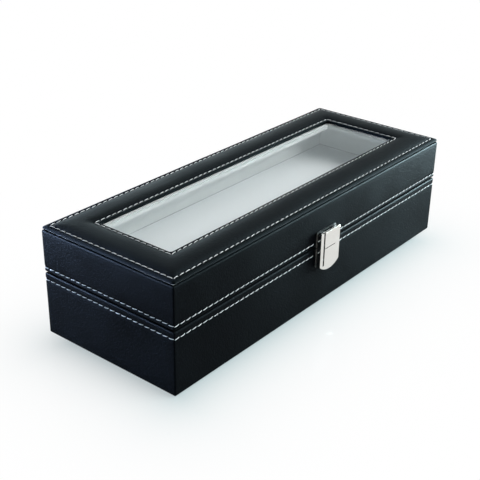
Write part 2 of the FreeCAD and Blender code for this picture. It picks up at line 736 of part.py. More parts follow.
def build():
    """Make every piece and return them in the order that they go together."""
    base_screws, lid_screws = hinge_screws("base"), hinge_screws("lid")
    base_rivets = clasp_rivets("base", "sizes.base_rivet_height")
    lid_rivets = clasp_rivets("lid", "sizes.lid_rivet_height")
    base_seats = [leaf_seat("base", side) for side in HINGE_SIDES]
    lid_seats = [leaf_seat("lid", side) for side in HINGE_SIDES]

    base_cuts = {"front": [base_rivets], "back": [*base_seats, base_screws]}
    made = boards("base", (BOARD_FLOOR, BOARD_TOP), base_cuts)
    made.append(slab("base_bottom_board", BOARD_INSIDE, (BOARD_FLOOR, FLOOR_TOP)))
    made.append(base_leather(base_seats, [base_rivets]))
    felt_edge = inset(OUTER, "sizes.underside_fold", "sizes.felt_gap")
    made.append(slab("base_underside_felt", felt_edge, ("0", BOARD_FLOOR)))
    made.append(ring("base_wall_lining", BOARD_INSIDE, LINED, (FLOOR_TOP, BASE_FOLD_END)))
    made.append(slab("base_floor_lining", LINED, (FLOOR_TOP, LINED_FLOOR)))
    made.extend(dividers())
    made.append(stitch_row("base_rim_stitching", "base_stitch_height"))

    lid_cuts = {"front": [lid_rivets], "back": [*lid_seats, lid_screws]}
    made += boards("lid", (LID_BOARD_FLOOR, TOP_BOARD_FLOOR), lid_cuts)
    made.append(ring("lid_top_board", BOARD_FACE, PANE_EDGE, (TOP_BOARD_FLOOR, TOP_BOARD_TOP)))
    made.append(lid_side_leather(lid_seats, [lid_rivets]))
    made.append(ring("lid_wall_lining", BOARD_INSIDE, LINED, (LID_FOLD_END, TOP_LINING_FLOOR)))
    made.append(lid_top_lining())
    made.append(slab("window_pane", PANE_EDGE, (TOP_BOARD_TOP, f"{TOP_BOARD_TOP} + sizes.pane")))
    made.append(slab("insert_card", LINED, (LID_BOARD_FLOOR, f"{LID_BOARD_FLOOR} + sizes.card")))
    made.extend(padded_panel())
    made.append(stitch_row("lid_rim_stitching", "lid_stitch_height"))
    made.append(panel_stitch_row("top_outer_stitching", "outer_stitch_inset", "outer_land"))
    made.append(panel_stitch_row("top_inner_stitching", "inner_stitch_inset", "inner_land"))

    for side in HINGE_SIDES:
        made.append(hinge_leaf("base", side, base_screws))
        made.append(hinge_leaf("lid", side, lid_screws))
        made.append(hinge_pin(side))
    made += [base_screws, lid_screws]

    split = "sizes.plate_split_gap"
    low_z = ("sizes.plate_bottom", f"sizes.base_rim - {split}")
    low_plate = clasp_plate("base_plate", low_z, value("plate_bottom"))
    catch_x = ("-sizes.catch_half", "sizes.catch_half")
    catch_y = (f"{FRONT} - sizes.catch_out", PLATE_Y[0])
    catch = block("clasp_catch", catch_x, catch_y, ("sizes.catch_low", "sizes.catch_high"))
    made.append(cut("clasp_base_plate", join("base_plate_and_catch", low_plate, catch), base_rivets))
    high_z = (f"sizes.lid_rim + {split}", "sizes.plate_top")
    high_plate = clasp_plate("lid_plate", high_z, value("plate_top"))
    eared = join("lid_plate_and_ears", high_plate, *clasp_ear("-"), *clasp_ear("+"))
    ear_hole = clasp_pin_rod("ear_pin_hole", "sizes.clasp_pin_play")
    made.append(cut("clasp_lid_plate", eared, lid_rivets, ear_hole))
    made += [clasp_pin_rod("clasp_pin", "0"), base_rivets, lid_rivets, clasp_tab()]
    made.extend(cushions())
    return made


def main():
    """Build the box, test every object, and write each piece to its own file."""
    pieces = build()
    doc.recompute()
    for item in doc.Objects:
        if {"Invalid", "Error"} & set(item.State):
            raise RuntimeError(f"{item.Name} did not compute: {item.State}")
    os.makedirs("parts", exist_ok=True)
    for piece in pieces:
        if piece.Shape.isNull() or not piece.Shape.isValid() or not piece.Shape.Solids:
            raise RuntimeError(f"{piece.Label} is not a valid solid")
    for piece in pieces:
        piece.Shape.exportStep(f"parts/{piece.Label}.step")
        print(f"{piece.Label}: {len(piece.Shape.Solids)} solid(s), {piece.Shape.Volume:.0f} mm3")


main()
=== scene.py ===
"""Looks of the watch box: black leathercloth with white stitching, a padded window lid and a nickel clasp.

Sizes are in millimetres until a mesh is made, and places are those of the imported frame.
"""
from __future__ import annotations

import logging
import math
from dataclasses import dataclass
from enum import Enum

import bmesh
import bpy
import numpy as np
from bpy.types import ID, Material, Mesh, Node, NodeSocket, NodeTree, Object
from mathutils import Matrix, Vector

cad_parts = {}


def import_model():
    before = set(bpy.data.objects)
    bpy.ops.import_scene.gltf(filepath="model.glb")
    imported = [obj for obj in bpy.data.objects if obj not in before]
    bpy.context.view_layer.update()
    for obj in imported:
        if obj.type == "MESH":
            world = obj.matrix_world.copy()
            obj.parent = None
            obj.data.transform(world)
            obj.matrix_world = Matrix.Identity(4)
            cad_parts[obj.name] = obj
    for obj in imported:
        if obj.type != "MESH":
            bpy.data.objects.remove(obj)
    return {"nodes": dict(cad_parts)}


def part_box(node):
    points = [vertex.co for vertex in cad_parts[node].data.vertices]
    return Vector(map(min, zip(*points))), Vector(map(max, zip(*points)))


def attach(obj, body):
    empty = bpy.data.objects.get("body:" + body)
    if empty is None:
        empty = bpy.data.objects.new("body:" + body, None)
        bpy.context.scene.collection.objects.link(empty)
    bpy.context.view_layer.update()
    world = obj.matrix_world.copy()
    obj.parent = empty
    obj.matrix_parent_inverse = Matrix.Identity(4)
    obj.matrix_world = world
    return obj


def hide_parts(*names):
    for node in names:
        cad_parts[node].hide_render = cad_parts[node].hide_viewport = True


MM = 0.001
TINY = 1e-9
LOG = logging.getLogger("watch_box")
Point = tuple[float, float]

# Corners of the box in order, and the sides that its boards are named for
CORNERS = ((-1, -1), (1, -1), (1, 1), (-1, 1))
SIDES = ("front", "back", "left", "right")

# The attribute that says how far a point of a covering is a folded edge, where its colour is painted lighter
# as a highlight on the outer covering and darker as shade on the padded panel
EDGE = "folded_edge_painted_light_and_shade"

# Nearly all the values of a noise texture lie in this span
NOISE_SPAN = (0.3, 0.7)

# Slight waves of a glued covering: radians for each millimetre along x, y and z, and where each wave starts
WAVES = (((1 / 13.7, 0, 1 / 9.1), 0.0), ((0, 1 / 11.3, -1 / 12.7), 1.3), ((1 / 29, 1 / 29, 0), 0.6))

# A column that faces the front or the back by more than this share is on a long side
LENGTHWISE = 0.5

# How far the rows of stitching stay clear of the clasp's plates
CLASP_MARGIN = 0.5

# Colours of light
WHITE = "#ffffff"
COOL = "#daf7ff"
BLUE = "#c4d7ff"


class Slot(Enum):
    """Material slots of the record."""

    LEATHERCLOTH = "black_leathercloth"
    THREAD = "white_thread"
    NICKEL = "polished_nickel"
    STEEL = "plated_steel"
    PANE = "clear_pane"
    LINING = "pale_velvet"
    CUSHION = "cushion_velvet"
    CARD = "pale_card"
    FIBREBOARD = "fibreboard"
    GREYBOARD = "greyboard"
    FOAM = "foam"
    FELT = "underside_felt"


def linear(hex_colour: str) -> tuple[float, float, float, float]:
    """Turn an sRGB hex colour into linear light.

    Args:
        hex_colour: six hex digits after a hash sign.

    Returns:
        Red, green, blue and an alpha of one.
    """
    channels = [int(hex_colour[start:start + 2], 16) / 255 for start in (1, 3, 5)]
    light = [c / 12.92 if c <= 0.04045 else ((c + 0.055) / 1.055) ** 2.4 for c in channels]
    return (light[0], light[1], light[2], 1.0)


def per_metre(size_mm: float) -> float:
    """The scale of a texture whose features are this many millimetres apart."""
    return 1.0 / (size_mm * MM)


def add_node(tree: NodeTree, kind: str, inputs: dict | None = None, **settings) -> Node:
    """Add a node with its settings, values and links.

    Args:
        tree: the node tree it goes into.
        kind: the node's type name, after the word ShaderNode.
        inputs: a value, or a socket to link from, for each input by its name or number.
        settings: properties of the node.

    Returns:
        The new node.
    """
    node = tree.nodes.new(f"ShaderNode{kind}")
    for name, setting in settings.items():
        setattr(node, name, setting)
    for name, given in (inputs or {}).items():
        if isinstance(given, NodeSocket):
            tree.links.new(given, node.inputs[name])
        else:
            node.inputs[name].default_value = given
    return node


class Finish:
    """A finish, named for the real material. Each kind of finish has nodes of its own."""

    name: str

    def shader(self, tree: NodeTree) -> Node:
        """Add the nodes of this finish to a tree, and return the last one."""
        raise NotImplementedError

    def make(self) -> Material:
        """Build the material.

        Returns:
            The new material.
        """
        material = bpy.data.materials.new(self.name)
        material.use_nodes = True
        tree = material.node_tree
        tree.nodes.clear()
        add_node(tree, "OutputMaterial", {"Surface": self.shader(tree).outputs[0]})
        return material


@dataclass(frozen=True)
class Leathercloth(Finish):
    """Embossed PVC leathercloth: a soft black sheen, broken up by a pebbled grain, with its colour painted
    at folded edges: a painted highlight on the outer covering, painted shade on the padded panel.

    The grain is drawn about twice as coarse as a real one, so that it shows in the render.
    """

    name: str = "black_leathercloth"
    colour: str = "#040507"
    worn_colour: str = "#080a0d"
    roughness: Point = (0.4, 0.52)
    gloss: float = 0.0088
    gloss_tint: str = "#a0d4e6"
    painted_edge_colour: str = "#0e1114"
    edge_roughness: float = 0.4
    grain_mm: float = 1.1
    grain_depth_mm: float = 0.16
    crease_mm: float = 0.35
    crease_share: float = 0.25
    cloud_mm: float = 38.0

    def shader(self, tree: NodeTree) -> Node:
        """Add the nodes of the cloth.

        Args:
            tree: the material's tree.

        Returns:
            The last node.
        """
        place = add_node(tree, "TexCoord").outputs["Object"]
        pebbles = add_node(tree, "TexVoronoi", {
            "Vector": place, "Scale": per_metre(self.grain_mm), "Randomness": 0.9}, feature="SMOOTH_F1")
        creases = add_node(tree, "TexNoise", {
            "Vector": place, "Scale": per_metre(self.crease_mm), "Detail": 2.0})
        clouds = add_node(tree, "TexNoise", {
            "Vector": place, "Scale": per_metre(self.cloud_mm), "Detail": 3.0})
        height = add_node(tree, "Math", {
            0: creases.outputs["Fac"], 1: self.crease_share, 2: pebbles.outputs["Distance"]},
            operation="MULTIPLY_ADD")
        bump = add_node(tree, "Bump", {
            "Strength": 0.8, "Distance": self.grain_depth_mm * MM, "Height": height.outputs[0]}, invert=True)
        rough = add_node(tree, "MapRange", {
            "Value": clouds.outputs["Fac"], "From Min": NOISE_SPAN[0], "From Max": NOISE_SPAN[1],
            "To Min": self.roughness[0], "To Max": self.roughness[1]})
        tone = add_node(tree, "Mix", {
            "Factor": clouds.outputs["Fac"], "A": linear(self.colour), "B": linear(self.worn_colour)},
            data_type="RGBA")
        # Painted highlight and shade: at folded edges the colour is lightened on the outer covering's upward
        # bends and darkened on the panel's lip and hem
        edge = add_node(tree, "Attribute", attribute_name=EDGE).outputs["Fac"]
        tone = add_node(tree, "Mix", {
            "Factor": edge, "A": tone.outputs["Result"], "B": linear(self.painted_edge_colour)}, data_type="RGBA")
        rough = add_node(tree, "Mix", {
            "Factor": edge, "A": rough.outputs["Result"], "B": self.edge_roughness})
        return add_node(tree, "BsdfPrincipled", {
            "Base Color": tone.outputs["Result"], "Roughness": rough.outputs["Result"],
            "Normal": bump.outputs["Normal"], "IOR": 1.5, "Specular IOR Level": self.gloss,
            "Specular Tint": linear(self.gloss_tint)})


@dataclass(frozen=True)
class SewingThread(Finish):
    """Twisted polyester thread: bright white strands with a soft sheen and grey between the plies."""

    name: str = "white_polyester_thread"
    colour: str = "#f6f9fa"
    shade: str = "#d2d8da"
    ply_mm: float = 0.5

    def shader(self, tree: NodeTree) -> Node:
        """Add the nodes of the thread.

        Args:
            tree: the material's tree.

        Returns:
            The last node.
        """
        place = add_node(tree, "TexCoord").outputs["Object"]
        fibres = add_node(tree, "TexNoise", {
            "Vector": place, "Scale": per_metre(self.ply_mm), "Detail": 3.0})
        tone = add_node(tree, "Mix", {
            "Factor": fibres.outputs["Fac"], "A": linear(self.colour), "B": linear(self.shade)},
            data_type="RGBA")
        return add_node(tree, "BsdfPrincipled", {
            "Base Color": tone.outputs["Result"], "Roughness": 0.7, "Specular IOR Level": 0.1,
            "Sheen Weight": 0.2})


@dataclass(frozen=True)
class PlatedMetal(Finish):
    """Nickel plate on pressed metal: polished it mirrors the room, dull it only glows, with painted shade in
    its slots.
    """

    name: str = "polished_nickel"
    colour: str = "#dcdad5"
    roughness: Point = (0.08, 0.18)
    haze_mm: float = 6.0
    painted_crevice_shade: str = "#141415"
    slot_mm: float = 2.0
    unshaded: Point = (0.45, 0.85)

    def shader(self, tree: NodeTree) -> Node:
        """Add the nodes of the metal.

        Args:
            tree: the material's tree.

        Returns:
            The last node.
        """
        place = add_node(tree, "TexCoord").outputs["Object"]
        haze = add_node(tree, "TexNoise", {
            "Vector": place, "Scale": per_metre(self.haze_mm), "Detail": 4.0})
        rough = add_node(tree, "MapRange", {
            "Value": haze.outputs["Fac"], "From Min": NOISE_SPAN[0], "From Max": NOISE_SPAN[1],
            "To Min": self.roughness[0], "To Max": self.roughness[1]})
        # Painted shade: ambient occlusion darkens the colour in slots and in the gaps between plates
        reach = add_node(tree, "AmbientOcclusion", {"Distance": self.slot_mm * MM}, samples=8)
        unshaded = add_node(tree, "MapRange", {
            "Value": reach.outputs["AO"], "From Min": self.unshaded[0], "From Max": self.unshaded[1]})
        tone = add_node(tree, "Mix", {
            "Factor": unshaded.outputs["Result"], "A": linear(self.painted_crevice_shade), "B": linear(self.colour)},
            data_type="RGBA")
        return add_node(tree, "BsdfPrincipled", {
            "Base Color": tone.outputs["Result"], "Metallic": 1.0, "Roughness": rough.outputs["Result"]})


@dataclass(frozen=True)
class WindowGlass(Finish):
    """Clear float glass: nearly unseen, with a faint sheen. Rays from lamps pass straight through it."""

    name: str = "clear_float_glass"
    colour: str = WHITE

    def shader(self, tree: NodeTree) -> Node:
        """Add the nodes of the glass.

        Args:
            tree: the material's tree.

        Returns:
            The last node.
        """
        glass = add_node(tree, "BsdfPrincipled", {
            "Base Color": linear(self.colour), "Roughness": 0.0, "IOR": 1.45, "Transmission Weight": 1.0})
        clear = add_node(tree, "BsdfTransparent", {"Color": linear(self.colour)})
        rays = add_node(tree, "LightPath").outputs
        lamp_ray = add_node(tree, "Math", {
            0: rays["Is Shadow Ray"], 1: rays["Is Diffuse Ray"]}, operation="MAXIMUM")
        return add_node(tree, "MixShader", {
            0: lamp_ray.outputs[0], 1: glass.outputs[0], 2: clear.outputs[0]})


@dataclass(frozen=True)
class Velvet(Finish):
    """Flocked velvet: a matt pale pile that lightens at its edges, with faint brushed patches.

    The pile is drawn coarser than a real one, so that it shows in the render.
    """

    name: str = "flocked_velvet"
    colour: str = "#d6dbda"
    brushed: str = "#cad0cf"
    patch_mm: float = 14.0
    pile_mm: float = 0.7
    pile_depth_mm: float = 0.15

    def shader(self, tree: NodeTree) -> Node:
        """Add the nodes of the pile.

        Args:
            tree: the material's tree.

        Returns:
            The last node.
        """
        place = add_node(tree, "TexCoord").outputs["Object"]
        patches = add_node(tree, "TexNoise", {
            "Vector": place, "Scale": per_metre(self.patch_mm), "Detail": 4.0, "Distortion": 0.6})
        pile = add_node(tree, "TexNoise", {
            "Vector": place, "Scale": per_metre(self.pile_mm), "Detail": 2.0})
        tone = add_node(tree, "Mix", {
            "Factor": patches.outputs["Fac"], "A": linear(self.colour), "B": linear(self.brushed)},
            data_type="RGBA")
        bump = add_node(tree, "Bump", {
            "Strength": 0.6, "Distance": self.pile_depth_mm * MM, "Height": pile.outputs["Fac"]})
        return add_node(tree, "BsdfPrincipled", {
            "Base Color": tone.outputs["Result"], "Roughness": 0.95, "Sheen Weight": 0.35,
            "Sheen Roughness": 0.4, "Normal": bump.outputs["Normal"]})


@dataclass(frozen=True)
class Pulp(Finish):
    """A matt sheet of pressed fibres, such as card, greyboard, fibreboard, felt or foam."""

    name: str
    colour: str
    fleck: str
    fibre_mm: float
    roughness: float = 0.8
    bump_mm: float = 0.04

    def shader(self, tree: NodeTree) -> Node:
        """Add the nodes of the fibres.

        Args:
            tree: the material's tree.

        Returns:
            The last node.
        """
        place = add_node(tree, "TexCoord").outputs["Object"]
        fibres = add_node(tree, "TexNoise", {
            "Vector": place, "Scale": per_metre(self.fibre_mm), "Detail": 5.0, "Roughness": 0.65})
        tone = add_node(tree, "Mix", {
            "Factor": fibres.outputs["Fac"], "A": linear(self.colour), "B": linear(self.fleck)},
            data_type="RGBA")
        bump = add_node(tree, "Bump", {
            "Strength": 0.5, "Distance": self.bump_mm * MM, "Height": fibres.outputs["Fac"]})
        return add_node(tree, "BsdfPrincipled", {
            "Base Color": tone.outputs["Result"], "Roughness": self.roughness,
            "Normal": bump.outputs["Normal"]})


@dataclass(frozen=True)
class GlossFloor(Finish):
    """A glossy white sheet: pure white to the eye, apart from a painted cool shadow that fades away round
    the box.
    """

    name: str = "white_floor"
    colour: str = "#a2b6b6"
    glow: str = "#597379"
    roughness: float = 0.1
    shade: float = 0.77
    shade_middle: Point = (-12.0, -10.0)
    shade_half: Point = (138.0, 45.0)
    shade_reach: float = 22.0

    def shader(self, tree: NodeTree) -> Node:
        """Add the nodes of the floor, which is less white the nearer it is to the box.

        Args:
            tree: the material's tree.

        Returns:
            The last node.
        """
        # Painted shadow and glow: near the box the floor shows this darker lit sheet with a cool glow,
        # further away plain white
        lit = add_node(tree, "BsdfPrincipled", {
            "Base Color": linear(self.colour), "Roughness": self.roughness, "Specular IOR Level": 1.0,
            "Emission Color": linear(self.glow), "Emission Strength": 1.0})
        white = add_node(tree, "Emission", {"Color": linear(WHITE), "Strength": 1.0})
        rays = add_node(tree, "LightPath").outputs
        seen = rays["Is Camera Ray"]
        for kind in ("Is Glossy Ray", "Is Transmission Ray"):
            seen = add_node(tree, "Math", {0: seen, 1: rays[kind]}, operation="MAXIMUM").outputs[0]
        away = add_node(tree, "TexCoord").outputs["Object"]
        middle = Vector((*self.shade_middle, 0.0)) * MM
        half = Vector((*self.shade_half, 0.0)) * MM
        steps = (("SUBTRACT", middle), ("ABSOLUTE", Vector()), ("SUBTRACT", half), ("MAXIMUM", Vector()))
        for operation, other in steps:
            away = add_node(tree, "VectorMath", {0: away, 1: other}, operation=operation).outputs[0]
        distance = add_node(tree, "VectorMath", {0: away}, operation="LENGTH").outputs["Value"]
        fall = add_node(tree, "Math", {
            0: distance, 1: -per_metre(self.shade_reach)}, operation="MULTIPLY")
        fall = add_node(tree, "Math", {0: fall.outputs[0]}, operation="EXPONENT")
        whiteness = add_node(tree, "Math", {
            0: fall.outputs[0], 1: -self.shade, 2: 1.0}, operation="MULTIPLY_ADD")
        share = add_node(tree, "Math", {0: seen, 1: whiteness.outputs[0]}, operation="MULTIPLY")
        return add_node(tree, "MixShader", {
            0: share.outputs[0], 1: lit.outputs[0], 2: white.outputs[0]})


FINISHES = {
    Slot.LEATHERCLOTH: Leathercloth(),
    Slot.THREAD: SewingThread(),
    Slot.NICKEL: PlatedMetal(),
    # Duller than the tab's nickel, with painted shade between the plates
    Slot.STEEL: PlatedMetal("dull_nickel_steel", "#a9a9a7", (0.25, 0.4), slot_mm=5.0),
    Slot.PANE: WindowGlass(),
    Slot.LINING: Velvet(),
    # Warmer than the lining, so that the cushions stand out from it
    Slot.CUSHION: Velvet("cushion_velvet", "#c2bdb2", "#aea89c"),
    # A plain, nearly smooth pale sheet
    Slot.CARD: Pulp("smooth_pale_card", "#e2e7e8", "#dbe0e1", 1.5, 0.6, 0.01),
    # Brown and grey flecked boards
    Slot.FIBREBOARD: Pulp("raw_fibreboard", "#a98a66", "#8f7150", 0.9),
    Slot.GREYBOARD: Pulp("raw_greyboard", "#8d8a84", "#75726c", 0.8),
    # Pale and open, with small pits
    Slot.FOAM: Pulp("padding_foam", "#d8d3bd", "#bdb7a0", 0.6, 0.95, 0.2),
    # A dull black nap with no sheen
    Slot.FELT: Pulp("needled_black_felt", "#141416", "#232427", 0.7, 1.0, 0.2),
}

# The same cloth drawn tight over padding, where it shines more, with a dull slack lip and hem darkened by
# painted shade
STRETCHED_CLOTH = Leathercloth(
    "stretched_leathercloth", gloss=0.07, painted_edge_colour="#020203", edge_roughness=0.95)


class Finishes:
    """The materials, made once and handed out by slot, and the pieces that have them."""

    def __init__(self) -> None:
        """Make every material."""
        self.materials = {slot: finish.make() for slot, finish in FINISHES.items()}
        self.stretched = STRETCHED_CLOTH.make()
        self.dressed: list[Object] = []

    def dress(self, piece: Object, slot: Slot, material: Material | None = None) -> None:
        """Give a piece one material all over, and list it among the dressed pieces.

        Args:
            piece: the piece.
            slot: its slot in the record.
            material: its material, if that isn't the slot's own.
        """
        piece.data.materials.clear()
        piece.data.materials.append(material or self.materials[slot])
        self.dressed.append(piece)

    def dress_nodes(self, slot: Slot, *nodes: str) -> None:
        """Dress nodes of the frame, which keep their own shapes."""
        for node in nodes:
            self.dress(frame["nodes"][node], slot)


def add_object(name: str, data: ID) -> Object:
    """Put a new object in the scene.

    Args:
        name: the object's name.
        data: its mesh, lamp or camera.

    Returns:
        The new object.
    """
    added = bpy.data.objects.new(name, data)
    bpy.context.scene.collection.objects.link(added)
    return added


def shade_smooth(mesh: Mesh) -> None:
    """Shade every face of a mesh smooth."""
    mesh.polygons.foreach_set("use_smooth", [True] * len(mesh.polygons))


def make_piece(name: str, points: np.ndarray, faces: list) -> Object:
    """Make a mesh object, with its faces turned outward.

    Args:
        name: the piece's name.
        points: its vertices in millimetres.
        faces: vertex numbers of each face.

    Returns:
        The new object, in the scene.
    """
    mesh = bpy.data.meshes.new(name)
    mesh.from_pydata((np.asarray(points, float) * MM).tolist(), [], faces)
    shape = bmesh.new()
    shape.from_mesh(mesh)
    bmesh.ops.recalc_face_normals(shape, faces=shape.faces)
    shape.to_mesh(mesh)
    shape.free()
    shade_smooth(mesh)
    return add_object(name, mesh)


def soft_block(name: str, node: str, radius: float, segments: int = 4,
               inward: float = 0.0) -> Object:
    """A block that fills a node's box, with its edges rounded.

    Args:
        name: the piece's name.
        node: the node whose box it fills.
        radius: radius of its edges in millimetres.
        segments: how many faces each rounding has.
        inward: how far inside the box it stays, in millimetres.

    Returns:
        The new object.
    """
    low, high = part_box(node)
    margin = Vector((inward, inward, inward)) * MM
    low, high = low + margin, high - margin
    shape = bmesh.new()
    bmesh.ops.create_cube(shape, size=1.0)
    for vertex in shape.verts:
        for axis in range(3):
            vertex.co[axis] = high[axis] if vertex.co[axis] > 0 else low[axis]
    bmesh.ops.bevel(
        shape, geom=shape.edges[:], offset=radius * MM, segments=segments, affect="EDGES", profile=0.5)
    mesh = bpy.data.meshes.new(name)
    shape.to_mesh(mesh)
    shape.free()
    shade_smooth(mesh)
    return add_object(name, mesh)


def place_on(piece: Object, body: str, *nodes: str) -> Object:
    """Let a piece ride on a body and stand for some nodes of the frame.

    Args:
        piece: the piece.
        body: the body that carries it.
        nodes: the nodes it stands for.

    Returns:
        The same piece.
    """
    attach(piece, body)
    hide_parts(*nodes)
    return piece


def half_size(node: str) -> Point:
    """Half the length and half the depth of a node, in millimetres."""
    low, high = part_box(node)
    return ((high.x - low.x) / 2 / MM, (high.y - low.y) / 2 / MM)


def span(node: str) -> Point:
    """The lowest and highest level of a node, in millimetres."""
    low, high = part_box(node)
    return (low.z / MM, high.z / MM)


class Path:
    """A section while it is traced, in points that give the way in from the outer face and the height.

    A stretch starts where the one before it ended, and leaves its own end to the next.
    """

    def __init__(self, start: Point) -> None:
        """Stand at a start."""
        self.points: list[Point] = []
        self.at = start

    def follow(self, end: Point, shares: list[Point]) -> None:
        """Add points on the way to an end, and stand there.

        Args:
            end: where it goes.
            shares: for each point, the share of the way in and the share of the way up that it has come.
        """
        (x, z), (end_x, end_z) = self.at, end
        self.points += [(x + (end_x - x) * across, z + (end_z - z) * up) for across, up in shares]
        self.at = end

    def run(self, end: Point, step: float) -> None:
        """Go straight to an end, in even steps no longer than this one."""
        count = max(1, math.ceil(math.dist(self.at, end) / step))
        self.follow(end, [(number / count, number / count) for number in range(count)])

    def turn(self, end: Point, count: int = 6, level_first: bool = False) -> None:
        """Go round a corner to an end, on a quarter of an ellipse.

        Args:
            end: where it goes.
            count: how many steps it takes.
            level_first: whether it sets out level, and not upright.
        """
        angles = [math.pi / 2 * number / count for number in range(count)]
        shares = [(1 - math.cos(angle), math.sin(angle)) for angle in angles]
        self.follow(end, [(up, across) for across, up in shares] if level_first else shares)

    def crown(self, end: Point, height: float, fullness: Point, count: int) -> None:
        """Go to an end over a padded crown.

        Args:
            end: where it goes.
            height: how high the crown rises.
            fullness: powers that make it flat on top and full at its sides.
            count: how many steps it takes.
        """
        shares = [number / count for number in range(count)]
        self.follow(end, [(share, share) for share in shares])
        for number, share in enumerate(shares, len(self.points) - count):
            x, z = self.points[number]
            lift = (1 - abs(2 * share - 1) ** fullness[0]) ** fullness[1]
            self.points[number] = (x, z + height * lift)


@dataclass(frozen=True)
class Seam:
    """A row of stitches round the box: where it lies on the covering and how deep it pulls it in.

    Halfway between two needle holes the covering is held down by a share of that depth.
    """

    inward: float
    height: float
    pitch: float = 5.08
    dip: float = 0.35
    reach: float = 1.1
    held: float = 0.45

    def per_side(self, half: Point) -> tuple[int, ...]:
        """How many stitches it has along the front and along an end."""
        return tuple(max(1, round(2 * (side - self.inward) / self.pitch)) for side in half)

    def phase(self, half: Point, grid: np.ndarray, around: np.ndarray) -> np.ndarray:
        """Find where vertices lie along the seam.

        Args:
            half: half the length and depth of the box.
            grid: the vertices.
            around: the columns that they stand in.

        Returns:
            The place of each vertex along its side in stitches, whole at the needle holes.
        """
        along = [(grid[..., axis] + half[axis] - self.inward) / (2 * (half[axis] - self.inward)) * count
                 for axis, count in enumerate(self.per_side(half))]
        return np.where(np.abs(around[:, 3]) > LENGTHWISE, *along)


